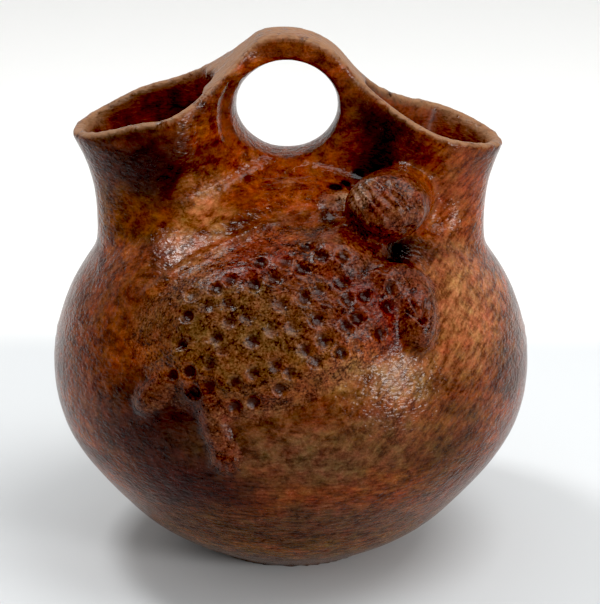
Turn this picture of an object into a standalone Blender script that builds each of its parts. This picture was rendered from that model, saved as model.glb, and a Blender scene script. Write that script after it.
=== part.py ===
"""A hand-built earthenware wedding vase: two spouts, a strap handle and an applied horned toad.

Metres, +Z up. The origin is the middle of the flat foot. +X runs from the left spout to the
right one, and the toad is on the front, towards -Y.

The vase is shaped as a potter would shape it. A solid blank of horizontal sections carries the
belly and both spouts, pinched together in the middle. It is trimmed along the line of the rims,
bored for the finger hole, hollowed, and its edges are worn soft. The toad is then raised on it.
"""

import math

import bmesh
import bpy
import numpy as np
from mathutils import Matrix, Vector

# Heights above the foot
BELLY_HEIGHT = 0.085
NECK_HEIGHT = 0.152
SADDLE_HEIGHT = 0.1805
LEFT_TIP_HEIGHT = 0.190
RIGHT_TIP_HEIGHT = 0.1838
STRAP_TOP_HEIGHT = 0.233

# Half widths, left to right, and how late the spouts turn outwards
BELLY_HALF_WIDTH = 0.105
NECK_HALF_WIDTH = 0.0843
MOUTH_HALF_WIDTH = 0.095
MOUTH_TURN = 2.2
NECK_BLEND = 36

# Half depths, front to back
BELLY_HALF_DEPTH = 0.100
SPOUT_HALF_DEPTH = 0.036

# How much deeper the spouts are at their roots, at their lips, and on the left than on the right
ROOT_FLARE = 0.42
ROOT_REACH = 0.022
LIP_FLARE = 0.1
LIP_FLARE_START = 0.010
LOPSIDEDNESS = 0.06
MIDDLE_REACH = 0.020

# The strap handle, its finger hole, and where the clay widens from the strap to each spout
STRAP_HALF_DEPTH = 0.0105
STRAP_THICKNESS = 0.0125
STRAP_OFFSET = -0.003
ARCH_RADIUS = 0.035
LEFT_PINCH = (0.008, 0.055)
RIGHT_PINCH = (0.030, 0.070)
PINCH_EASE = 0.012
HOLE_FLARE = 0.007
HOLE_REACH = 0.018
HOLE_X = -0.0015
HOLE_EXTRA_WIDTH = 0.0014

# The wall, and the web of clay between the finger hole and the two spouts
WALL = 0.006
WEB = 0.009
WEB_LEAN = 0.35
WEB_FLARE = 0.0055
MOUTH_END_RADIUS = 0.012

# The line of the rims: how high above their tips they pass before they turn up into the strap
LEFT_RIM_RISE = ((-0.081, 0.0046), (-0.068, 0.0098), (-0.046, 0.0160), (-0.031, 0.0260), (-0.022, 0.0339))
RIGHT_RIM_RISE = ((0.046, 0.0175), (0.057, 0.0127), (0.068, 0.0092), (0.081, 0.0052))
ARCH_SPAN = (-0.3, 0.85)
ARCH_KNOTS = 7

# The round belly's outline: heights as shares of BELLY_HEIGHT, radii as shares of the widest
BELLY_RISE = (0, 0.16, 0.42, 0.71, 1, 1.22, 1.53, 1.74, 1.91, 2.03, 2.13)
BELLY_SPREAD = (0.375, 0.592, 0.802, 0.957, 1, 0.975, 0.857, 0.69, 0.47, 0.25, 0)
MELT = 3
MOUTH_ROUNDNESS = 3.2

# The toad's body: the way up the front is measured along a belly of FRONT_RADIUS
FRONT_RADIUS = 0.098
TOAD_X = -0.007
TOAD_RISE = 0.055
TOAD_TURN = math.radians(24)
TOAD_HALF_LENGTH = 0.062
TOAD_HALF_WIDTH = 0.041
TOAD_HEIGHT = 0.0070
TOAD_FULLNESS = 2.4
UPPER_BRINK = 0.6
LOWER_BRINK = 0.42

# The pinched scales on its back: a pit each, with a lip of clay pushed up beside it
SCALE_PITCH = 0.0092
SCALE_RADIUS = 0.0027
SCALE_DEPTH = 0.0026
SCALE_MARGIN = 0.13
UPPER_SCALE_MARGIN = 0.4
SCALE_UNEVENNESS = 0.3
SCALE_SEED = 7
LIP_ALONG = -0.0030
LIP_ACROSS = -0.0016
LIP_SHARE = 0.6

# Its head, a thick round lump that stands out to the front
HEAD_CENTRE = (0.0362, -0.0665, 0.1728)
HEAD_AXIS = (-0.2, -0.96, 0.13)
HEAD_RADIUS = 0.0173
HEAD_TALLNESS = 0.82
HEAD_LENGTH = 0.046
HEAD_PROFILE = ((0, 0.5), (0.03, 0.74), (0.08, 0.89), (0.16, 0.98), (0.3, 1), (0.6, 1), (1, 0.9))

# Its smaller parts: x, rise, half length, half width, half height, turn in degrees
FOREFOOT = (0.0518, 0.0560, 0.0160, 0.0088, 0.0092, 92)
FORELEG = (0.0450, 0.0705, 0.0145, 0.0105, 0.0085, -5)
NECK_CLAY = (0.0245, 0.0860, 0.0180, 0.0140, 0.0062, 45)
BROKEN_LEG = (0.0205, 0.1150, 0.0095, 0.0070, 0.0030, 40)
CHIP = (0.0405, 0.1330, 0.0045, 0.0028, 0.0028, 10)
HIND_LEG = (-0.0305, 0.0080, 0.0130, 0.0060, 0.0042, 105)
HIND_FOOT = (-0.0262, -0.0045, 0.0085, 0.0068, 0.0032, 100)
TAIL = (-0.0560, 0.0178, 0.0110, 0.0065, 0.0048, 40)
LUMPS = (FOREFOOT, FORELEG, NECK_CLAY, BROKEN_LEG, CHIP, HIND_LEG, HIND_FOOT, TAIL)

# How finely the clay is worked, and the facets left on the inside, the plain outside and in all
CLAY_GRAIN = 0.0016
SMOOTHING_PASSES = 14
INNER_FACETS = 1300
PLAIN_FACETS = 3700
ALL_FACETS = 9800
WORKED_REACH = 0.006
WORKED_MARGIN = 0.1
LUMP_MARGIN = 1.3
FOLD_ANGLE = math.radians(85)
FOLD_PASSES = 12

RING_POINTS = 128
RING_COUNT = 110
FINE_STEP = 0.001

HOLE_RADIUS = (STRAP_TOP_HEIGHT - STRAP_THICKNESS - SADDLE_HEIGHT) / 2
HOLE_HEIGHT = SADDLE_HEIGHT + HOLE_RADIUS
HEADROOM = 0.010
BLANK_TOP = STRAP_TOP_HEIGHT + HEADROOM
FOOT_LEVEL = 0.0006
FOOT_RADIUS = BELLY_HALF_WIDTH * BELLY_SPREAD[0]
SAME_PLACE = 0.0001

CLAY_COLOUR = (0.155, 0.052, 0.022, 1)
CLAY_ROUGHNESS = 0.24


def hermite(knots, values, at):
    """A smooth curve through the values at the knots, read at some places."""
    knots = np.asarray(knots, float)
    values = np.asarray(values, float)
    at = np.clip(np.asarray(at, float), knots[0], knots[-1])
    slopes = np.gradient(values, knots)
    low = np.clip(np.searchsorted(knots, at, side="right") - 1, 0, len(knots) - 2)
    span = knots[low + 1] - knots[low]
    t = (at - knots[low]) / span
    rest = 1 - t
    return (
        values[low] * (1 + 2 * t) * rest**2
        + slopes[low] * span * t * rest**2
        + values[low + 1] * t**2 * (3 - 2 * t)
        - slopes[low + 1] * span * t**2 * rest
    )


def smoothstep(low, high, at):
    """0 below low, 1 above high, and a soft S between them."""
    t = np.clip((at - low) / (high - low), 0, 1)
    return t * t * (3 - 2 * t)


def belly_share(z):
    """How much of its widest radius the round belly has at a height."""
    return hermite(BELLY_RISE, BELLY_SPREAD, z / BELLY_HEIGHT)


def spout_half_width(z):
    """Half the distance between the far sides of the two spouts at a height."""
    rise = np.clip((z - NECK_HEIGHT) / (LEFT_TIP_HEIGHT - NECK_HEIGHT), 0, 1)
    return NECK_HALF_WIDTH + (MOUTH_HALF_WIDTH - NECK_HALF_WIDTH) * rise**MOUTH_TURN


def half_width(z):
    """Half the vase's width at a height: the round belly, then the spouts flaring outwards."""
    spouts = spout_half_width(z) if z > BELLY_HEIGHT else 0
    return np.maximum(BELLY_HALF_WIDTH * belly_share(z), spouts)


def neck_fillet(z):
    """How much wider the clay is where the spouts grow out of the belly."""
    spouts = spout_half_width(z) if z > BELLY_HEIGHT else 0
    shares = np.array([BELLY_HALF_WIDTH * belly_share(z), spouts]) / half_width(z)
    return (shares**NECK_BLEND).sum() ** (1 / NECK_BLEND)


def depth_at(x, z):
    """Half the depth of the blank at a place across it, with the pinch between the spouts."""
    belly = BELLY_HALF_DEPTH * np.sqrt(np.clip(belly_share(z) ** 2 - (x / BELLY_HALF_WIDTH) ** 2, 0, 1))
    side = 2 * smoothstep(-MIDDLE_REACH, MIDDLE_REACH, x) - 1
    root = ROOT_FLARE * (1 - smoothstep(NECK_HEIGHT - ROOT_REACH, NECK_HEIGHT + ROOT_REACH, z))
    lip = LIP_FLARE * smoothstep(NECK_HEIGHT + LIP_FLARE_START, LEFT_TIP_HEIGHT, z)
    flare = 1 + root + lip - LOPSIDEDNESS * side
    share = np.clip(np.abs(x) / spout_half_width(z), 0, 1)
    ease = PINCH_EASE * (1 - smoothstep(NECK_HEIGHT, LEFT_TIP_HEIGHT, z))
    start, end = [
        (1 - side) / 2 * left + (1 + side) / 2 * right for left, right in zip(LEFT_PINCH, RIGHT_PINCH)
    ]
    spread = smoothstep(start - ease, end + ease, np.abs(x))
    spout = SPOUT_HALF_DEPTH * flare * np.sqrt(1 - share**MOUTH_ROUNDNESS)
    spout = STRAP_HALF_DEPTH + (spout - STRAP_HALF_DEPTH) * spread
    spout = spout * smoothstep(BELLY_HEIGHT, NECK_HEIGHT, z)
    return (belly**MELT + spout**MELT) ** (1 / MELT)


def rim_height(x):
    """The height of the top edge: the left rim, the strap and the right rim in one line."""
    arch = np.linspace(*ARCH_SPAN, ARCH_KNOTS) * ARCH_RADIUS
    left = np.array([(-MOUTH_HALF_WIDTH, 0), *LEFT_RIM_RISE]) + (0, LEFT_TIP_HEIGHT)
    crown = STRAP_TOP_HEIGHT - ARCH_RADIUS + np.sqrt(ARCH_RADIUS**2 - arch**2)
    right = np.array([*RIGHT_RIM_RISE, (MOUTH_HALF_WIDTH, 0)]) + (0, RIGHT_TIP_HEIGHT)
    knots, values = np.vstack([left, np.column_stack([arch + STRAP_OFFSET, crown]), right]).T
    return hermite(knots, values, x)


def loft(name, rings):
    """A closed solid through rings of points, each an array of the same length, with flat ends."""
    mesh = bpy.data.meshes.new(name)
    work = bmesh.new()
    loops = []
    for ring in rings:
        verts = [work.verts.new(point) for point in ring]
        loops.append([work.edges.new((verts[i - 1], verts[i])) for i in range(len(verts))])
    for low, high in zip(loops, loops[1:]):
        bmesh.ops.bridge_loops(work, edges=low + high)
    work.verts.ensure_lookup_table()
    count = len(rings[0])
    for first in (0, len(work.verts) - count):
        work.faces.new(work.verts[first : first + count])
    bmesh.ops.recalc_face_normals(work, faces=work.faces)
    work.to_mesh(mesh)
    work.free()
    shape = bpy.data.objects.new(name, mesh)
    bpy.context.scene.collection.objects.link(shape)
    return shape


def as_cutter(shape):
    """Marks a shape as a tool that cuts the clay and isn't part of it."""
    shape.hide_render = True
    shape.display_type = "WIRE"
    return shape


def section(z):
    """The outline of the blank at a height, as points evenly spaced along it."""
    turn = np.linspace(0, 2 * math.pi, 8 * RING_POINTS + 1)
    x = half_width(z) * np.cos(turn)
    y = depth_at(x, z) * np.where(turn < math.pi, 1, -1)
    x = x * neck_fillet(z)
    length = np.concatenate([[0], np.cumsum(np.hypot(np.diff(x), np.diff(y)))])
    even = np.linspace(0, length[-1], RING_POINTS, endpoint=False)
    return np.column_stack([np.interp(even, length, x), np.interp(even, length, y), np.full(RING_POINTS, z)])


def blank_rings():
    """The sections of the solid blank from the foot up, as one array of rings of points."""
    return np.array([section(z) for z in np.linspace(0, BLANK_TOP, RING_COUNT)])


def inner_rings(rings):
    """The blank's sections moved inwards through the wall, at right angles to its face."""
    around = np.roll(rings, -1, axis=1) - np.roll(rings, 1, axis=1)
    upwards = np.gradient(rings, axis=0)
    normals = np.cross(around, upwards)
    normals /= np.linalg.norm(normals, axis=2, keepdims=True)
    inside = rings - WALL * normals
    inside[..., 2] = np.maximum(inside[..., 2], WALL)
    return inside


def front_place(rise, x):
    """The point on the front of the blank at a way up it, and the direction it faces."""
    heights = np.arange(0, STRAP_TOP_HEIGHT, FINE_STEP / 4)
    depths = np.array([depth_at(x, z) for z in heights])
    rises = FRONT_RADIUS * np.arctan2(heights - BELLY_HEIGHT, depths)
    z = float(np.interp(rise, rises, heights))
    along = (depth_at(x + FINE_STEP, z) - depth_at(x - FINE_STEP, z)) / (2 * FINE_STEP)
    upwards = (depth_at(x, z + FINE_STEP) - depth_at(x, z - FINE_STEP)) / (2 * FINE_STEP)
    facing = Vector((-float(along), -1.0, -float(upwards))).normalized()
    return Vector((x, -float(depth_at(x, z)), z)), facing


def lump(index, x, rise, half_length, half_wide, half_height, turn):
    """One flattened ball of clay pressed on the front of the blank."""
    place, facing = front_place(rise, x)
    across = Vector((1, 0, 0)).cross(facing).normalized()
    along = across.cross(facing).normalized()
    spin = Matrix.Rotation(math.radians(turn), 3, facing)
    axes = Matrix((spin @ along * half_length, spin @ across * half_wide, facing * half_height))
    mesh = bpy.data.meshes.new(f"lump_{index}")
    work = bmesh.new()
    bmesh.ops.create_icosphere(work, subdivisions=4, radius=1)
    bmesh.ops.transform(work, matrix=Matrix.Translation(place) @ axes.transposed().to_4x4(), verts=work.verts)
    bmesh.ops.recalc_face_normals(work, faces=work.faces)
    work.to_mesh(mesh)
    work.free()
    shape = bpy.data.objects.new(f"lump_{index}", mesh)
    bpy.context.scene.collection.objects.link(shape)
    return as_cutter(shape)


def head():
    """The toad's head: a thick round drum of clay facing the viewer."""
    axis = Vector(HEAD_AXIS).normalized()
    side = axis.cross(Vector((0, 0, 1))).normalized()
    over = side.cross(axis).normalized()
    turn = np.linspace(0, 2 * math.pi, 64, endpoint=False)
    rings = []
    for back, radius in HEAD_PROFILE:
        middle = np.array(Vector(HEAD_CENTRE) - axis * (back * HEAD_LENGTH))
        spread = radius * HEAD_RADIUS
        circle = np.outer(np.cos(turn), side) + HEAD_TALLNESS * np.outer(np.sin(turn), over)
        rings.append(middle + spread * circle)
    return as_cutter(loft("head", rings))


def spool():
    """A spool whose waist is the finger hole and whose ends flare with the clay."""
    turn = np.linspace(0, 2 * math.pi, RING_POINTS, endpoint=False)
    reach = 2.5 * HOLE_REACH
    rings = []
    for y in np.concatenate([[-reach], np.linspace(-1, 1, 25) * HOLE_REACH, [reach]]):
        share = min(abs(y) / HOLE_REACH, 1)
        radius = HOLE_RADIUS + HOLE_FLARE * (1 - math.sqrt(1 - share**2))
        across = HOLE_X + (radius + HOLE_EXTRA_WIDTH) * np.cos(turn)
        level = HOLE_HEIGHT + radius * np.sin(turn)
        rings.append(np.column_stack([across, np.full(RING_POINTS, y), level]))
    return as_cutter(loft("finger_hole", rings))


def slab(name, outline, half_length):
    """A block with an outline of (x, z) points, reaching evenly to the front and the back."""
    ends = (-half_length, half_length)
    return loft(name, [np.column_stack([outline[:, 0], np.full(len(outline), y), outline[:, 1]]) for y in ends])


def rim_trimmer():
    """Everything above the line of the rims, as one block with a shaped underside."""
    reach = 1.2 * MOUTH_HALF_WIDTH
    across = np.linspace(-reach, reach, 121)
    under = np.column_stack([across, rim_height(across)])
    top = BLANK_TOP + HEADROOM
    over = np.array([[reach, top], [-reach, top]])
    return as_cutter(slab("rim_trimmer", np.vstack([under, over]), 2 * SPOUT_HALF_DEPTH))


def web():
    """The clay left round the finger hole, with a rounded hollow face towards each spout."""
    lower = np.linspace(math.pi, 2 * math.pi, 49)
    reach = 2 * SPOUT_HALF_DEPTH
    top = BLANK_TOP + HEADROOM
    rings = []
    for y in np.concatenate([[-reach], np.linspace(-1, 1, 17) * MOUTH_END_RADIUS, [reach]]):
        share = min(abs(y) / MOUTH_END_RADIUS, 1)
        radius = HOLE_RADIUS + WEB + WEB_FLARE * (1 - math.sqrt(1 - share**2))
        far = radius + WEB_LEAN * (top - HOLE_HEIGHT)
        x = np.concatenate([radius * np.cos(lower), [far, -far]])
        z = np.concatenate([HOLE_HEIGHT + radius * np.sin(lower), [top, top]])
        rings.append(np.column_stack([x, np.full(len(x), y), z]))
    return as_cutter(loft("web", rings))


def hollow():
    """The space inside: the blank moved inwards, without the web that carries the finger hole."""
    space = as_cutter(loft("hollow", inner_rings(blank_rings())))
    carve(space, web())
    return space


def carve(shape, cutter, operation="DIFFERENCE"):
    """Takes a cutter's shape out of a solid, or adds it."""
    cut = shape.modifiers.new(cutter.name, "BOOLEAN")
    cut.operation = operation
    cut.solver = "EXACT"
    cut.object = cutter


def settle(shape):
    """Makes what a shape's modifiers give its own mesh."""
    graph = bpy.context.evaluated_depsgraph_get()
    mesh = bpy.data.meshes.new_from_object(shape.evaluated_get(graph))
    shape.modifiers.clear()
    shape.data = mesh


def scale_places():
    """The places of the toad's scales along and across its body, in staggered uneven rows."""
    chance = np.random.default_rng(SCALE_SEED)
    places = []
    rows = int(TOAD_HALF_WIDTH / SCALE_PITCH)
    for row in range(-rows, rows + 1):
        start = -TOAD_HALF_LENGTH + (row % 2) * SCALE_PITCH / 2
        for along in np.arange(start, TOAD_HALF_LENGTH, SCALE_PITCH):
            stray = chance.uniform(-SCALE_UNEVENNESS, SCALE_UNEVENNESS, 2)
            spot = np.array([along, row * SCALE_PITCH]) + stray * SCALE_PITCH
            margin = UPPER_SCALE_MARGIN if spot[1] > 0 else SCALE_MARGIN
            if body_reach(*spot) > margin:
                places.append(spot)
    return places


def body_reach(along, across):
    """How far inside the toad's outline a place is: 1 in the middle, 0 on the outline."""
    share = np.abs(along / TOAD_HALF_LENGTH) ** TOAD_FULLNESS + np.abs(across / TOAD_HALF_WIDTH) ** TOAD_FULLNESS
    return 1 - share ** (1 / TOAD_FULLNESS)


def toad_place(x, rise):
    """A place on the front as distances along and across the toad's body."""
    east = x - TOAD_X
    north = rise - TOAD_RISE
    along = east * math.cos(TOAD_TURN) + north * math.sin(TOAD_TURN)
    across = north * math.cos(TOAD_TURN) - east * math.sin(TOAD_TURN)
    return along, across


def relief(x, rise):
    """How far the toad's body and scales stand out of the front at each place."""
    along, across = toad_place(x, rise)
    brink = np.where(across > 0, UPPER_BRINK, LOWER_BRINK)
    height = TOAD_HEIGHT * smoothstep(0, brink, body_reach(along, across))
    for scale_along, scale_across in scale_places():
        east = along - scale_along
        north = across - scale_across
        pit = np.hypot(east, north) / SCALE_RADIUS
        lip = np.hypot(east - LIP_ALONG, north - LIP_ACROSS) / SCALE_RADIUS
        height += SCALE_DEPTH * (LIP_SHARE * np.exp(-(lip**2)) - np.exp(-(pit**2)))
    return height


def raise_relief(shape):
    """Moves the clay of the front outwards to the relief."""
    places, facing = surface(shape)
    rise = FRONT_RADIUS * np.arctan2(places[:, 2] - BELLY_HEIGHT, -places[:, 1])
    outer = smoothstep(0, 0.1, -facing[:, 1]) * (places[:, 1] < -STRAP_HALF_DEPTH)
    outwards = places - (0, 0, BELLY_HEIGHT)
    outwards /= np.linalg.norm(outwards, axis=1, keepdims=True)
    places += outwards * (outer * relief(places[:, 0], rise))[:, None]
    shape.data.vertices.foreach_set("co", places.ravel())
    shape.data.update()


def level_foot(shape):
    """Cuts the worn underside off flat and stands the foot on the ground."""
    work = bmesh.new()
    work.from_mesh(shape.data)
    parts = work.verts[:] + work.edges[:] + work.faces[:]
    bmesh.ops.bisect_plane(work, geom=parts, plane_co=(0, 0, FOOT_LEVEL), plane_no=(0, 0, 1), clear_inner=True)
    cut = [edge for edge in work.edges if edge.is_boundary]
    for vert in {vert for edge in cut for vert in edge.verts}:
        vert.co.z = 0
    bmesh.ops.edgeloop_fill(work, edges=cut)
    bmesh.ops.remove_doubles(work, verts=work.verts, dist=SAME_PLACE)
    bmesh.ops.recalc_face_normals(work, faces=work.faces)
    for face in work.faces:
        face.smooth = True
    work.to_mesh(shape.data)
    work.free()


def thin(shape, kept, facets):
    """Thins the facets outside the kept places to a number, and leaves the kept ones alone."""
    group = shape.vertex_groups.new(name="kept")
    group.add(np.flatnonzero(kept).tolist(), 1.0, "REPLACE")
    total = sum(len(face.vertices) - 2 for face in shape.data.polygons)
    held = sum(len(face.vertices) - 2 for face in shape.data.polygons if kept[list(face.vertices)].all())
    facet = shape.modifiers.new("facets", "DECIMATE")
    facet.ratio = min((held + facets) / total, 1)
    facet.vertex_group = group.name
    facet.invert_vertex_group = True
    settle(shape)
    shape.vertex_groups.clear()


def ease_folds(shape):
    """Relaxes the few places where thinned facets fold over each other."""
    work = bmesh.new()
    work.from_mesh(shape.data)
    for _ in range(FOLD_PASSES):
        folds = [edge for edge in work.edges if edge.calc_face_angle() > FOLD_ANGLE]
        near = {vert.index for edge in folds for face in edge.link_faces for vert in face.verts}
        verts = [vert for vert in work.verts if vert.index in near]
        bmesh.ops.smooth_vert(work, verts=verts, factor=0.5, use_axis_x=True, use_axis_y=True, use_axis_z=True)
    work.to_mesh(shape.data)
    work.free()


def outside(places):
    """Which places are on the outer face of the clay, and not on the face of the hollow."""
    x, y, z = places.T
    face = np.abs(y) > depth_at(x, z) - WALL / 2
    foot = z < WALL / 2
    rim = z > rim_height(x) - WALL / 2
    hole = np.hypot(x, z - HOLE_HEIGHT) < HOLE_RADIUS + WEB / 2
    return face | foot | rim | hole


def worked(places, facing):
    """Which places were worked closely: the rims, the foot, the finger hole and the toad."""
    x, y, z = places.T
    rim = np.abs(z - rim_height(x)) < WORKED_REACH
    foot = (z < WALL / 2) & (np.hypot(x, y) > FOOT_RADIUS - WORKED_REACH)
    hole = np.abs(np.hypot(x, z - HOLE_HEIGHT) - HOLE_RADIUS) < WORKED_REACH
    rise = FRONT_RADIUS * np.arctan2(z - BELLY_HEIGHT, -y)
    toad = body_reach(*toad_place(x, rise)) > -WORKED_MARGIN
    for lump_x, lump_rise, half_length, *_ in LUMPS:
        toad |= np.hypot(x - lump_x, rise - lump_rise) < LUMP_MARGIN * half_length
    return rim | foot | hole | (toad & (y < -STRAP_HALF_DEPTH) & (facing[:, 1] < 0))


def surface(shape):
    """The places of a shape's points and the directions they face, as two arrays."""
    mesh = shape.data
    places = np.zeros(3 * len(mesh.vertices))
    facing = np.zeros(3 * len(mesh.vertices))
    mesh.vertices.foreach_get("co", places)
    mesh.vertex_normals.foreach_get("vector", facing)
    return places.reshape(-1, 3), facing.reshape(-1, 3)


def shape_vase():
    """The whole vase: blank, toad's parts, rims, finger hole, hollow, worn edges and relief."""
    vase = loft("wedding_vase", blank_rings())
    for index, sizes in enumerate(LUMPS):
        carve(vase, lump(index, *sizes), "UNION")
    carve(vase, head(), "UNION")
    carve(vase, rim_trimmer())
    carve(vase, spool())
    carve(vase, hollow())
    clay = vase.modifiers.new("clay", "REMESH")
    clay.mode = "VOXEL"
    clay.voxel_size = CLAY_GRAIN
    clay.use_smooth_shade = True
    soft = vase.modifiers.new("worn_edges", "SMOOTH")
    soft.iterations = SMOOTHING_PASSES
    settle(vase)
    raise_relief(vase)
    places, facing = surface(vase)
    thin(vase, outside(places), INNER_FACETS)
    places, facing = surface(vase)
    thin(vase, worked(places, facing) | ~outside(places), PLAIN_FACETS)
    thin(vase, np.zeros(len(vase.data.vertices), bool), ALL_FACETS)
    ease_folds(vase)
    level_foot(vase)
    return vase


def burnish(shape):
    """Gives a shape its fired and polished clay."""
    clay = bpy.data.materials.new("burnished_earthenware")
    clay.use_nodes = True
    finish = clay.node_tree.nodes["Principled BSDF"]
    finish.inputs["Base Color"].default_value = CLAY_COLOUR
    finish.inputs["Roughness"].default_value = CLAY_ROUGHNESS
    shape.data.materials.append(clay)


def main():
    for old in list(bpy.data.objects):
        bpy.data.objects.remove(old)
    burnish(shape_vase())


main()
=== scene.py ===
"""How a hand-built wedding vase with an applied horned toad looks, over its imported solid.

Metres, +Z up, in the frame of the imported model: the origin is the middle of the foot, +X runs
from the left spout to the right one, and the toad is on the front, towards -Y.
"""

import logging
import math
from dataclasses import dataclass, field
from enum import Enum
from typing import Any, Iterable, Sequence

import bmesh
import bpy
import numpy as np
from mathutils import Matrix, Vector, noise


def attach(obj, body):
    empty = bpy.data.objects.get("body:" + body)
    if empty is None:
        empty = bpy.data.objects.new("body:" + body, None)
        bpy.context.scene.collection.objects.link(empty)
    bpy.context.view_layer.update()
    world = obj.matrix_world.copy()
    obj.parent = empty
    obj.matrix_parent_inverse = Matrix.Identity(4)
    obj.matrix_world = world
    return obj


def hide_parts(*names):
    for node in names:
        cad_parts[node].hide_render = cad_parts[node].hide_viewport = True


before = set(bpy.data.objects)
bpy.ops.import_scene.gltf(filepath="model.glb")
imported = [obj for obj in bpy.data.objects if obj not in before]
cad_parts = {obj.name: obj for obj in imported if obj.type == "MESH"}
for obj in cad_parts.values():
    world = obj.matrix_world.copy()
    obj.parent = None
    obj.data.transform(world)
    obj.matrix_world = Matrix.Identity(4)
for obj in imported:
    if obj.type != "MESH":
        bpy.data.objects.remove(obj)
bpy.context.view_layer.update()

log = logging.getLogger("wedding_vase")

Array = np.ndarray
Colour = tuple[float, float, float]
Point = tuple[float, float, float]
Pair = tuple[float, float]


def hermite(knots: Sequence[float], values: Sequence[float], at: Array | float) -> Array:
    """Reads a smooth curve through values at knots.

    Args:
        knots: Rising places of the values.
        values: The curve's values there.
        at: Where to read it.

    Returns:
        The curve's values at those places.
    """
    knots = np.asarray(knots, float)
    values = np.asarray(values, float)
    at = np.clip(np.asarray(at, float), knots[0], knots[-1])
    slopes = np.gradient(values, knots)
    low = np.clip(np.searchsorted(knots, at, side="right") - 1, 0, len(knots) - 2)
    span = knots[low + 1] - knots[low]
    t = (at - knots[low]) / span
    rest = 1 - t
    return (
        values[low] * (1 + 2 * t) * rest**2
        + slopes[low] * span * t * rest**2
        + values[low + 1] * t**2 * (3 - 2 * t)
        - slopes[low + 1] * span * t**2 * rest
    )


def smoothstep(low: float, high: float, at: Array | float) -> Array:
    """Gives 0 below low, 1 above high, and a soft S between them."""
    t = np.clip((at - low) / (high - low), 0, 1)
    return t * t * (3 - 2 * t)


def bell(distance: Array, radius: float) -> Array:
    """Gives a soft bump, 1 at no distance and nearly 0 beyond two radii."""
    return np.exp(-((distance / radius) ** 2))


def nearness(spots: Sequence[Point], radius: float, places: Array) -> Array:
    """Gives how near each place is to the nearest of a few spots: 1 on it, 0 far away."""
    away = [np.linalg.norm(places - spot, axis=1) for spot in spots]
    return bell(np.min(away, axis=0), radius)


def noise_at(points: Array) -> Array:
    """Gives smooth noise between -1 and 1 at each point."""
    return np.array([noise.noise(Vector(point)) for point in points])


def turned(east: Array, north: Array, angle: float) -> tuple[Array, Array]:
    """Turns distances on the front into distances along and across a thing set at an angle."""
    along = east * math.cos(angle) + north * math.sin(angle)
    return along, north * math.cos(angle) - east * math.sin(angle)


def circle(points: int) -> Array:
    """Gives the angles of evenly spaced points on a circle."""
    return np.linspace(0, 2 * math.pi, points, endpoint=False)


def outline_at(y: float, x: Array, z: Array) -> Array:
    """Gives the points of an upright outline at one depth."""
    return np.column_stack([x, np.full(len(x), y), z])


class Operation(Enum):
    """What a tool does to the clay."""

    CUT = "DIFFERENCE"
    JOIN = "UNION"


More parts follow.
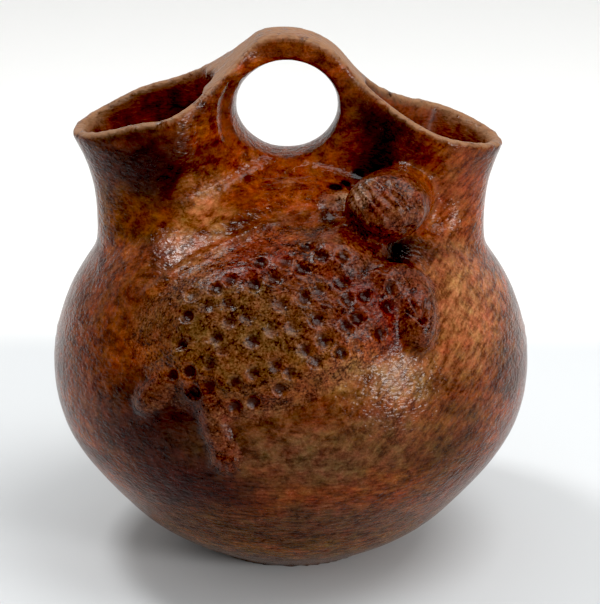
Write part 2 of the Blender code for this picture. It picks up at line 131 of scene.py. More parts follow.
@dataclass(frozen=True)
class VesselForm:
    """The pot without the toad: a round belly and two spouts under a strap handle."""

    belly_height: float = 0.085
    neck_height: float = 0.152
    saddle_height: float = 0.1805
    left_tip_height: float = 0.190
    right_tip_height: float = 0.1838
    strap_top: float = 0.233
    belly_half_width: float = 0.105
    neck_half_width: float = 0.0843
    mouth_half_width: float = 0.095
    mouth_turn: float = 2.2
    neck_blend: float = 36
    belly_half_depth: float = 0.100
    spout_half_depth: float = 0.036
    root_flare: float = 0.42
    root_reach: float = 0.022
    lip_flare: float = 0.1
    lip_flare_start: float = 0.010
    lopsidedness: float = 0.06
    middle_reach: float = 0.020
    strap_half_depth: float = 0.0105
    strap_thickness: float = 0.0125
    strap_offset: float = -0.003
    arch_radius: float = 0.035
    left_pinch: Pair = (0.008, 0.055)
    right_pinch: Pair = (0.030, 0.070)
    pinch_ease: float = 0.012
    hole_flare: float = 0.007
    hole_reach: float = 0.018
    hole_x: float = -0.0015
    hole_extra_width: float = 0.0014
    wall: float = 0.006
    web: float = 0.009
    web_lean: float = 0.35
    web_flare: float = 0.0055
    mouth_end_radius: float = 0.012
    left_rim_rise: tuple[Pair, ...] = (
        (-0.081, 0.0046), (-0.068, 0.0098), (-0.046, 0.0160), (-0.031, 0.0260), (-0.022, 0.0339)
    )
    right_rim_rise: tuple[Pair, ...] = (
        (0.046, 0.0175), (0.057, 0.0127), (0.068, 0.0092), (0.081, 0.0052)
    )
    arch_span: Pair = (-0.3, 0.85)
    arch_knots: int = 7
    belly_rise: tuple[float, ...] = (0, 0.16, 0.42, 0.71, 1, 1.22, 1.53, 1.74, 1.91, 2.03, 2.13)
    belly_spread: tuple[float, ...] = (
        0.375, 0.592, 0.802, 0.957, 1, 0.975, 0.857, 0.69, 0.47, 0.25, 0
    )
    melt: float = 3
    mouth_roundness: float = 3.2
    headroom: float = 0.010
    foot_level: float = 0.0006
    points: int = 128
    rings: int = 110
    oversampling: int = 8

    @property
    def hole_radius(self) -> float:
        """The finger hole's radius."""
        return (self.strap_top - self.strap_thickness - self.saddle_height) / 2

    @property
    def hole_height(self) -> float:
        """The height of the middle of the finger hole."""
        return self.saddle_height + self.hole_radius

    @property
    def blank_top(self) -> float:
        """The height of the untrimmed blank."""
        return self.strap_top + self.headroom

    def belly_share(self, z: Array | float) -> Array:
        """Gives how much of its widest radius the round belly has at a height."""
        return hermite(self.belly_rise, self.belly_spread, np.asarray(z) / self.belly_height)

    def spout_half_width(self, z: Array | float) -> Array:
        """Gives half the distance between the far sides of the two spouts at a height."""
        rise = np.clip((z - self.neck_height) / (self.left_tip_height - self.neck_height), 0, 1)
        return self.neck_half_width + (
            self.mouth_half_width - self.neck_half_width
        ) * rise**self.mouth_turn

    def sides(self, z: float) -> Array:
        """Gives half the width of the round belly and half that of the spouts at a height."""
        spouts = float(self.spout_half_width(z)) if z > self.belly_height else 0
        return np.array([self.belly_half_width * float(self.belly_share(z)), spouts])

    def half_width(self, z: float) -> float:
        """Gives half the blank's width at a height."""
        return float(self.sides(z).max())

    def neck_fillet(self, z: float) -> float:
        """Gives how much wider the clay is where the spouts grow out of the belly."""
        shares = self.sides(z) / self.half_width(z)
        return (shares**self.neck_blend).sum() ** (1 / self.neck_blend)

    def depth(self, x: Array | float, z: Array | float) -> Array:
        """Works out half the depth of the blank, with the pinch between its spouts.

        Args:
            x: Places across the blank.
            z: Their heights.

        Returns:
            Half the depth at each place.
        """
        share = np.sqrt(np.clip(self.belly_share(z) ** 2 - (x / self.belly_half_width) ** 2, 0, 1))
        belly = self.belly_half_depth * share
        side = 2 * smoothstep(-self.middle_reach, self.middle_reach, x) - 1
        low, high = self.neck_height - self.root_reach, self.neck_height + self.root_reach
        root = self.root_flare * (1 - smoothstep(low, high, z))
        lip_start = self.neck_height + self.lip_flare_start
        lip = self.lip_flare * smoothstep(lip_start, self.left_tip_height, z)
        flare = 1 + root + lip - self.lopsidedness * side
        across = np.clip(np.abs(x) / self.spout_half_width(z), 0, 1)
        ease = self.pinch_ease * (1 - smoothstep(self.neck_height, self.left_tip_height, z))
        start, end = [
            (1 - side) / 2 * left + (1 + side) / 2 * right
            for left, right in zip(self.left_pinch, self.right_pinch)
        ]
        spread = smoothstep(start - ease, end + ease, np.abs(x))
        spout = self.spout_half_depth * flare * np.sqrt(1 - across**self.mouth_roundness)
        spout = self.strap_half_depth + (spout - self.strap_half_depth) * spread
        spout = spout * smoothstep(self.belly_height, self.neck_height, z)
        return (belly**self.melt + spout**self.melt) ** (1 / self.melt)

    def rim_height(self, x: Array) -> Array:
        """Works out the line of the left rim, the strap and the right rim.

        Args:
            x: Places across the vase.

        Returns:
            The height of the top edge at each place.
        """
        arch = np.linspace(*self.arch_span, self.arch_knots) * self.arch_radius
        edge = self.mouth_half_width
        left = np.array([(-edge, 0), *self.left_rim_rise]) + (0, self.left_tip_height)
        crown = self.strap_top - self.arch_radius + np.sqrt(self.arch_radius**2 - arch**2)
        right = np.array([*self.right_rim_rise, (edge, 0)]) + (0, self.right_tip_height)
        middle = np.column_stack([arch + self.strap_offset, crown])
        knots, values = np.vstack([left, middle, right]).T
        return hermite(knots, values, x)

    def section(self, z: float) -> Array:
        """Traces the outline of the blank at a height.

        Args:
            z: The height.

        Returns:
            The points, evenly spaced along the outline.
        """
        turn = np.linspace(0, 2 * math.pi, self.oversampling * self.points + 1)
        x = self.half_width(z) * np.cos(turn)
        y = self.depth(x, z) * np.where(turn < math.pi, 1, -1)
        x = x * self.neck_fillet(z)
        length = np.concatenate([[0], np.cumsum(np.hypot(np.diff(x), np.diff(y)))])
        even = np.linspace(0, length[-1], self.points, endpoint=False)
        spread = [np.interp(even, length, side) for side in (x, y)]
        return np.column_stack([*spread, np.full(self.points, z)])

    def blank(self) -> Array:
        """Gives the sections of the solid blank from the foot up."""
        return np.array([self.section(z) for z in np.linspace(0, self.blank_top, self.rings)])

    def inside(self, rings: Array) -> Array:
        """Moves the blank's sections inwards through the wall, at right angles to its face.

        Args:
            rings: The blank's sections.

        Returns:
            The sections of the hollow.
        """
        around = np.roll(rings, -1, axis=1) - np.roll(rings, 1, axis=1)
        upwards = np.gradient(rings, axis=0)
        normals = np.cross(around, upwards)
        normals /= np.linalg.norm(normals, axis=2, keepdims=True)
        moved = rings - self.wall * normals
        moved[..., 2] = np.maximum(moved[..., 2], self.wall)
        return moved

    def is_outside(self, places: Array) -> Array:
        """Tells which places are on the outer face of the clay.

        Args:
            places: Points on the vase.

        Returns:
            True for each place that isn't on the face of the hollow.
        """
        x, y, z = places.T
        face = np.abs(y) > self.depth(x, z) - self.wall / 2
        rim = z > self.rim_height(x) - self.wall / 2
        hole = np.hypot(x, z - self.hole_height) < self.hole_radius + self.web / 2
        return face | rim | hole | (z < self.wall / 2)


@dataclass(frozen=True)
class ClayLump:
    """A flattened ball of clay pressed on the front, placed by x and by the way up the front."""

    x: float
    rise: float
    half_length: float
    half_width: float
    half_height: float
    turn: float

    def away(self, x: Array, rise: Array) -> Array:
        """Gives how far each place is from the lump's middle: 1 on its outline."""
        along, across = turned(x - self.x, rise - self.rise, math.radians(self.turn))
        return np.hypot(along / self.half_length, across / self.half_width)


@dataclass(frozen=True)
class Stroke:
    """A line pressed or pinched into the clay between two places on the front."""

    start: Pair
    end: Pair
    width: float
    height: float

    def relief(self, x: Array, rise: Array) -> Array:
        """Works out how far the stroke moves the clay outwards.

        Args:
            x: Places across the front.
            rise: Their ways up the front.

        Returns:
            The movement at each place, negative for a groove.
        """
        start = np.array(self.start)
        along = np.array(self.end) - start
        east, north = x - start[0], rise - start[1]
        t = np.clip((east * along[0] + north * along[1]) / (along @ along), 0, 1)
        return self.height * bell(np.hypot(east - t * along[0], north - t * along[1]), self.width)


@dataclass(frozen=True)
class HornedToad:
    """The toad: a broad body under pinched scales, with a head, feet and a tail of pressed clay."""

    front_radius: float = 0.098
    x: float = -0.007
    rise: float = 0.055
    turn: float = math.radians(24)
    half_length: float = 0.062
    half_width: float = 0.041
    height: float = 0.0070
    fullness: float = 2.4
    upper_brink: float = 0.6
    lower_brink: float = 0.42
    scale_pitch: float = 0.0092
    scale_radius: float = 0.0027
    scale_depth: float = 0.0020
    scale_margin: float = 0.13
    upper_scale_margin: float = 0.4
    scale_unevenness: float = 0.3
    weakest_scale: float = 0.5
    seed: int = 7
    lip_along: float = -0.0030
    lip_across: float = -0.0016
    lip_share: float = 0.6
    head_centre: Point = (0.0362, -0.0665, 0.1728)
    head_axis: Point = (-0.2, -0.96, 0.13)
    head_radius: float = 0.0173
    head_tallness: float = 0.82
    head_length: float = 0.046
    head_doming: float = 0.0050
    head_profile: tuple[Pair, ...] = (
        (0, 0.5), (0.03, 0.74), (0.08, 0.89), (0.16, 0.98), (0.3, 1), (0.6, 1), (1, 0.9)
    )
    lumps: tuple[ClayLump, ...] = (
        ClayLump(0.0518, 0.0560, 0.0160, 0.0088, 0.0092, 92),
        ClayLump(0.0450, 0.0705, 0.0145, 0.0105, 0.0085, -5),
        ClayLump(0.0245, 0.0860, 0.0180, 0.0140, 0.0062, 45),
        ClayLump(0.0205, 0.1150, 0.0095, 0.0070, 0.0030, 40),
        ClayLump(0.0405, 0.1330, 0.0045, 0.0028, 0.0028, 10),
        ClayLump(-0.0305, 0.0080, 0.0130, 0.0060, 0.0042, 105),
        ClayLump(-0.0262, -0.0045, 0.0085, 0.0068, 0.0032, 100),
        ClayLump(-0.0560, 0.0178, 0.0110, 0.0065, 0.0048, 40),
    )
    strokes: tuple[Stroke, ...] = (
        Stroke((0.0540, 0.0510), (0.0465, 0.0565), 0.0008, -0.0012),
        Stroke((0.0540, 0.0510), (0.0490, 0.0600), 0.0008, -0.0011),
        Stroke((0.0540, 0.0510), (0.0552, 0.0615), 0.0008, -0.0012),
        Stroke((0.0540, 0.0510), (0.0575, 0.0640), 0.0008, -0.0010),
        Stroke((-0.0292, -0.0060), (-0.0330, -0.0120), 0.0010, 0.0011),
        Stroke((-0.0272, -0.0065), (-0.0285, -0.0140), 0.0010, 0.0012),
        Stroke((-0.0249, -0.0065), (-0.0240, -0.0140), 0.0010, 0.0012),
        Stroke((-0.0226, -0.0060), (-0.0195, -0.0120), 0.0010, 0.0011),
        Stroke((-0.0580, 0.0690), (-0.0367, 0.0836), 0.0030, 0.0012),
        Stroke((-0.0367, 0.0836), (-0.0090, 0.1005), 0.0030, 0.0012),
        Stroke((0.0212, 0.1222), (0.0222, 0.1232), 0.0016, -0.0045),
        Stroke((0.0262, 0.1300), (0.0305, 0.1325), 0.0014, -0.0040),
    )
    # Spots in the scar's holes, painted near black: painted shade.
    hole_shade: tuple[Point, ...] = (
        (0.0183, -0.0235, 0.1711), (0.0200, -0.0230, 0.1709),
        (0.0235, -0.0185, 0.1713), (0.0287, -0.0125, 0.1730),
    )
    hole_shade_radius: float = 0.0032
    torn_edge: tuple[Point, ...] = ((0.0236, -0.0310, 0.1697), (0.0258, -0.0605, 0.1790))
    torn_radius: float = 0.0048
    limb_edge: Pair = (1.15, 0.85)
    # Where the painted shade of the crease round each limb lies.
    crease_place: float = 1.12
    crease_width: float = 0.16
    crease_end: Pair = (0.6, 1)
    out_of_reach: float = 9
    face_start: Pair = (-0.014, -0.003)
    face_edge: Pair = (1.2, 1.05)
    dome_edge: Pair = (0.15, 1.05)
    marked_edge: Pair = (1.1, 0.95)
    marked_facing: Pair = (0, 0.5)
    ridge_pitch: float = 0.0040
    ridge_depth: float = 0.0014
    ridge_wobble: float = 0.35
    wobble_size: float = 0.006
    ridged_height: Pair = (-0.003, 0.005)
    ridged_side: Pair = (0.014, 0.006)
    bump_size: float = 0.0075
    bump_depth: float = 0.0026
    bump_loss: float = 0.6

    def place(self, x: Array, rise: Array) -> tuple[Array, Array]:
        """Turns places on the front into distances along and across the toad's body."""
        return turned(x - self.x, rise - self.rise, self.turn)

    def reach(self, along: Array, across: Array) -> Array:
        """Gives how far inside the body's outline a place is: 1 in the middle, 0 on the outline."""
        shares = np.abs(along / self.half_length), np.abs(across / self.half_width)
        return 1 - (shares[0] ** self.fullness + shares[1] ** self.fullness) ** (1 / self.fullness)

    @property
    def snout(self) -> Array:
        """The direction the head faces."""
        return np.array(self.head_axis) / np.linalg.norm(self.head_axis)

    def head_share(self, places: Array) -> Array:
        """Works out how far places are from the head's axis.

        Args:
            places: Points on the vase.

        Returns:
            0 on the axis, 1 on the head's side, and a large number behind the head.
        """
        away = places - self.head_centre
        forward = away @ self.snout
        across = (away - np.outer(forward, self.snout)) / (1, 1, self.head_tallness)
        behind = self.out_of_reach * (forward < -self.head_length / 2)
        return np.linalg.norm(across, axis=1) / self.head_radius + behind

    def rounding(self, places: Array) -> Array:
        """Works out how the flat face of the head is rounded to a dome.

        Args:
            places: Points on the vase.

        Returns:
            How far each place moves back.
        """
        share = self.head_share(places)
        forward = (places - self.head_centre) @ self.snout
        front = smoothstep(*self.face_start, forward) * smoothstep(*self.face_edge, share)
        return self.head_doming * smoothstep(*self.dome_edge, share) * front

    def head_marks(self, places: Array, facing: Array) -> Array:
        """Works out the ridges and bumps on the face of the head.

        Args:
            places: Points on the vase.
            facing: The directions they face.

        Returns:
            How deep each place lies in them, in metres.
        """
        away = places - self.head_centre
        marked = smoothstep(*self.marked_edge, self.head_share(places))
        face = marked * smoothstep(*self.marked_facing, -facing[:, 1])
        x, _, z = away.T
        slant = (x + z) / math.sqrt(2)
        wobble = self.ridge_wobble * noise_at(away / self.wobble_size)
        ridges = 0.5 + 0.5 * np.sin(2 * math.pi * (slant / self.ridge_pitch + wobble))
        upper = smoothstep(*self.ridged_height, z) * smoothstep(*self.ridged_side, x)
        bumps = self.bump_depth * np.abs(noise_at(away / self.bump_size))
        return face * (self.ridge_depth * ridges * upper + bumps * (1 - self.bump_loss * upper))

    def limbs(self, x: Array, rise: Array) -> tuple[Array, Array]:
        """Finds the legs, the feet and the tail.

        Args:
            x: Places across the front.
            rise: Their ways up the front.

        Returns:
            1 for each place on a limb, and 1 for each place in the crease around one.
        """
        on_limb, crease = np.zeros_like(x), np.zeros_like(x)
        for lump in self.lumps:
            away = lump.away(x, rise)
            on_limb = np.maximum(on_limb, smoothstep(*self.limb_edge, away))
            crease = np.maximum(crease, bell(away - self.crease_place, self.crease_width))
        return on_limb, crease * (1 - smoothstep(*self.crease_end, on_limb))

    def scales(self) -> list[Array]:
        """Places the scales in staggered, uneven rows.

        Returns:
            The place of each scale along and across the body.
        """
        chance = np.random.default_rng(self.seed)
        places = []
        rows = int(self.half_width / self.scale_pitch)
        for row in range(-rows, rows + 1):
            start = -self.half_length + (row % 2) * self.scale_pitch / 2
            for along in np.arange(start, self.half_length, self.scale_pitch):
                stray = chance.uniform(-self.scale_unevenness, self.scale_unevenness, 2)
                spot = np.array([along, row * self.scale_pitch]) + stray * self.scale_pitch
                margin = self.upper_scale_margin if spot[1] > 0 else self.scale_margin
                if self.reach(*spot) > margin:
                    places.append(spot)
        return places

    def relief(self, x: Array, rise: Array) -> tuple[Array, Array]:
        """Works out how the toad stands out of the front.

        Args:
            x: Places across the front.
            rise: Their ways up the front.

        Returns:
            How far each place moves outwards, and how deep it lies in a pit, from 0 to 1.
        """
        along, across = self.place(x, rise)
        brink = np.where(across > 0, self.upper_brink, self.lower_brink)
        inside = self.reach(along, across)
        height = self.height * smoothstep(0, brink, inside)
        pits = np.zeros_like(height)
        scales = self.scales()
        strengths = np.random.default_rng(self.seed).uniform(self.weakest_scale, 1, len(scales))
        for (scale_along, scale_across), strength in zip(scales, strengths):
            east, north = along - scale_along, across - scale_across
            pit = bell(np.hypot(east, north) ** 2 / self.scale_radius, self.scale_radius)
            lip = bell(np.hypot(east - self.lip_along, north - self.lip_across), self.scale_radius)
            height += strength * self.scale_depth * (self.lip_share * lip - pit)
            pits = np.maximum(pits, strength * pit)
        for stroke in self.strokes:
            dent = stroke.relief(x, rise)
            height += dent
            pits = np.maximum(pits, -dent / self.scale_depth)
        return height, np.clip(pits, 0, 1)


@dataclass
class Clay:
    """A mesh object in work, with the few operations that shape it."""

    shape: bpy.types.Object

    @classmethod
    def of_mesh(cls, name: str, work: bmesh.types.BMesh) -> "Clay":
        """Makes an object of a finished bmesh, and frees the bmesh.

        Args:
            name: The object's name.
            work: The bmesh.

        Returns:
            The object.
        """
        bmesh.ops.recalc_face_normals(work, faces=work.faces)
        mesh = bpy.data.meshes.new(name)
        work.to_mesh(mesh)
        work.free()
        shape = bpy.data.objects.new(name, mesh)
        bpy.context.scene.collection.objects.link(shape)
        return cls(shape)

    @classmethod
    def loft(cls, name: str, rings: Iterable[Array]) -> "Clay":
        """Builds a closed solid through rings of points.

        Args:
            name: The object's name.
            rings: Arrays of points, each of the same length.

        Returns:
            The solid, with flat ends.
        """
        work = bmesh.new()
        loops = []
        for ring in rings:
            verts = [work.verts.new(point) for point in ring]
            loops.append([work.edges.new((verts[i - 1], verts[i])) for i in range(len(verts))])
        for low, high in zip(loops, loops[1:]):
            bmesh.ops.bridge_loops(work, edges=low + high)
        for loop in (loops[0], loops[-1]):
            bmesh.ops.edgeloop_fill(work, edges=loop)
        return cls.of_mesh(name, work)

    @classmethod
    def ball(cls, matrix: Matrix, splits: int = 4) -> "Clay":
        """Builds a flattened ball.

        Args:
            matrix: What places and flattens a ball of radius 1.
            splits: How finely it is split.

        Returns:
            The ball.
        """
        work = bmesh.new()
        bmesh.ops.create_icosphere(work, subdivisions=splits, radius=1, matrix=matrix)
        return cls.of_mesh("lump", work)

    def modify(self, kind: str, **settings: Any) -> None:
        """Adds a modifier.

        Args:
            kind: The modifier's type.
            settings: Its settings by name.
        """
        modifier = self.shape.modifiers.new(kind.lower(), kind)
        for name, value in settings.items():
            setattr(modifier, name, value)

    def carve(self, tool: "Clay", operation: Operation = Operation.CUT) -> None:
        """Cuts a tool's shape out of the clay, or joins it on."""
        self.modify("BOOLEAN", operation=operation.value, solver="EXACT", object=tool.shape)

    def settle(self, *tools: "Clay") -> None:
        """Makes what the modifiers give the object's own mesh.

        Args:
            tools: The clay that the modifiers used, which is taken away.
        """
        graph = bpy.context.evaluated_depsgraph_get()
        mesh = bpy.data.meshes.new_from_object(self.shape.evaluated_get(graph))
        self.shape.modifiers.clear()
        self.shape.data = mesh
        for tool in tools:
            bpy.data.objects.remove(tool.shape)

    def smooth(self) -> None:
        """Shades every face smoothly."""
        faces = self.shape.data.polygons
        faces.foreach_set("use_smooth", [True] * len(faces))

    def surface(self) -> tuple[Array, Array]:
        """Reads the mesh's points.

        Returns:
            Their places and the directions they face.
        """
        mesh = self.shape.data
        places, facing = np.zeros((2, 3 * len(mesh.vertices)))
        mesh.vertices.foreach_get("co", places)
        mesh.vertex_normals.foreach_get("vector", facing)
        return places.reshape(-1, 3), facing.reshape(-1, 3)

    def move_to(self, places: Array) -> None:
        """Moves the mesh's points to new places."""
        self.shape.data.vertices.foreach_set("co", places.ravel())
        self.shape.data.update()

    def mark(self, name: str, values: Array) -> None:
        """Writes one number per point on the mesh, for the finish to read."""
        layer = self.shape.data.attributes.new(name, "FLOAT", "POINT")
        layer.data.foreach_set("value", values.astype(np.float32))

    def thin(self, kept: Array, share: float) -> None:
        """Thins the facets outside the kept places.

        Args:
            kept: True for each point that stays as it is.
            share: The share of the other facets that is left.
        """
        group = self.shape.vertex_groups.new(name="kept")
        group.add(np.flatnonzero(kept).tolist(), 1.0, "REPLACE")
        faces = self.shape.data.polygons
        held = sum(kept[list(face.vertices)].all() for face in faces) / len(faces)
        ratio = held + (1 - held) * share
        self.modify("DECIMATE", ratio=ratio, vertex_group=group.name, invert_vertex_group=True)
        self.settle()
        self.shape.vertex_groups.clear()

    def refine(self, chosen: Array, roundness: float = 0.6) -> None:
        """Splits the facets around the chosen points in four.

        Args:
            chosen: True for each point whose facets are split.
            roundness: How far the new points are rounded off.
        """
        work = bmesh.new()
        work.from_mesh(self.shape.data)
        work.verts.ensure_lookup_table()
        edges = [edge for edge in work.edges if all(chosen[vert.index] for vert in edge.verts)]
        bmesh.ops.subdivide_edges(work, edges=edges, cuts=1, use_grid_fill=True, smooth=roundness)
        bmesh.ops.triangulate(work, faces=[face for face in work.faces if len(face.verts) > 4])
        work.to_mesh(self.shape.data)
        work.free()


@dataclass(frozen=True)
class Wire:
    """One output of a material's node, on which sums are written as plain expressions."""

    sheet: "NodeSheet"
    socket: bpy.types.NodeSocket

    def math(self, operation: str, *others: "Wire | float") -> "Wire":
        """Adds a Math node that works on this value and others."""
        inputs = dict(enumerate((self, *others)))
        return self.sheet.node("ShaderNodeMath", {"operation": operation}, inputs)

    def __add__(self, other: "Wire | float") -> "Wire":
        """Adds."""
        return self.math("ADD", other)

    __radd__ = __add__

    def __mul__(self, other: "Wire | float") -> "Wire":
        """Multiplies."""
        return self.math("MULTIPLY", other)

    def __sub__(self, other: "Wire | float") -> "Wire":
        """Takes another value from this one."""
        return self.math("SUBTRACT", other)

    def __rsub__(self, other: float) -> "Wire":
        """Takes this value from a number."""
        return self.sheet.node("ShaderNodeMath", {"operation": "SUBTRACT"}, {0: other, 1: self})

    def __pow__(self, power: float) -> "Wire":
        """Raises to a power."""
        return self.math("POWER", power)

    def step(self, low: float, high: float) -> "Wire":
        """Gives 0 at low, 1 at high and a soft S between them."""
        inputs = {"Value": self, "From Min": low, "From Max": high}
        return self.sheet.node("ShaderNodeMapRange", {"interpolation_type": "SMOOTHSTEP"}, inputs)


@dataclass(frozen=True)
class Grain:
    """One noise in a finish: the size of its patches in metres, and their look."""

    size: float
    detail: float = 2
    rough: float = 0.5
    twist: float = 0
    squash: float = 1


@dataclass(frozen=True)
class NodeSheet:
    """The nodes of one material, and the finish that they feed."""

    tree: bpy.types.ShaderNodeTree

    @classmethod
    def of_material(cls, material: bpy.types.Material) -> "NodeSheet":
        """Opens the nodes of a new material."""
        material.use_nodes = True
        return cls(material.node_tree)

    def feed(self, **values: "Wire | float") -> None:
        """Gives the finish its values.

        Args:
            values: Numbers or wires by the input's name, with _ for a space.
        """
        finish = self.tree.nodes["Principled BSDF"]
        for name, value in values.items():
            if isinstance(value, Wire):
                self.tree.links.new(value.socket, finish.inputs[name.replace("_", " ")])
            else:
                finish.inputs[name.replace("_", " ")].default_value = value

    def place(self) -> Wire:
        """Gives the place on the object, in metres."""
        return self.node("ShaderNodeTexCoord", {}, {}, "Object")

    def split(self, place: Wire) -> list[Wire]:
        """Splits a place into its three numbers."""
        return [self.node("ShaderNodeSeparateXYZ", {}, {"Vector": place}, i) for i in range(3)]

    def node(
        self, kind: str, settings: dict[str, Any], sockets: dict[Any, Any], output: int | str = 0
    ) -> Wire:
        """Adds a node.

        Args:
            kind: The node's type.
            settings: Its properties, set before its sockets.
            sockets: Values or wires by the input's name or number.
            output: The output that the wire leaves from.

        Returns:
            The wire from that output.
        """
        made = self.tree.nodes.new(kind)
        for name, value in settings.items():
            setattr(made, name, value)
        for key, value in sockets.items():
            if isinstance(value, Wire):
                self.tree.links.new(value.socket, made.inputs[key])
            else:
                made.inputs[key].default_value = value
        return Wire(self, made.outputs[output])

    def mark(self, name: str) -> Wire:
        """Reads a number that was written on the mesh."""
        return self.node("ShaderNodeAttribute", {"attribute_name": name}, {}, "Fac")

    def mix(self, share: Wire | float, start: Wire | Colour, end: Wire | Colour) -> Wire:
        """Mixes two colours.

        Args:
            share: 0 for the start, 1 for the end.
            start: The first colour.
            end: The second colour.

        Returns:
            The mixed colour.
        """
        ends = [value if isinstance(value, Wire) else (*value, 1) for value in (start, end)]
        sockets = {0: share, 6: ends[0], 7: ends[1]}
        return self.node("ShaderNodeMix", {"data_type": "RGBA"}, sockets, 2)

    def vector(self, operation: str, first: Any, second: Any, output: int | str = 0) -> Wire:
        """Adds a Vector Math node."""
        sockets = {0: first, 1: second}
        return self.node("ShaderNodeVectorMath", {"operation": operation}, sockets, output)

    def grain(self, place: Wire, look: Grain, output: int | str = 0) -> Wire:
        """Adds a noise.

        Args:
            place: Where the noise is read.
            look: What it looks like.
            output: The output that the wire leaves from.

        Returns:
            The noise, between 0 and 1.
        """
        if look.squash != 1:
            place = self.vector("MULTIPLY", place, (1, 1, look.squash))
        sockets = {"Vector": place, "Scale": 1 / look.size, "Detail": look.detail}
        sockets |= {"Roughness": look.rough, "Distortion": look.twist}
        return self.node("ShaderNodeTexNoise", {}, sockets, output)


@dataclass(frozen=True)
class Cloud:
    """A soft patch of colour, in millimetres and thousandths of a colour: most are clouds that the
    fire or a hand left, and a few are painted shade and painted highlights.
    """

    centre: Point
    radii: Point
    colour: Colour
    strength: float = 1.0
    softness: float = 0.75


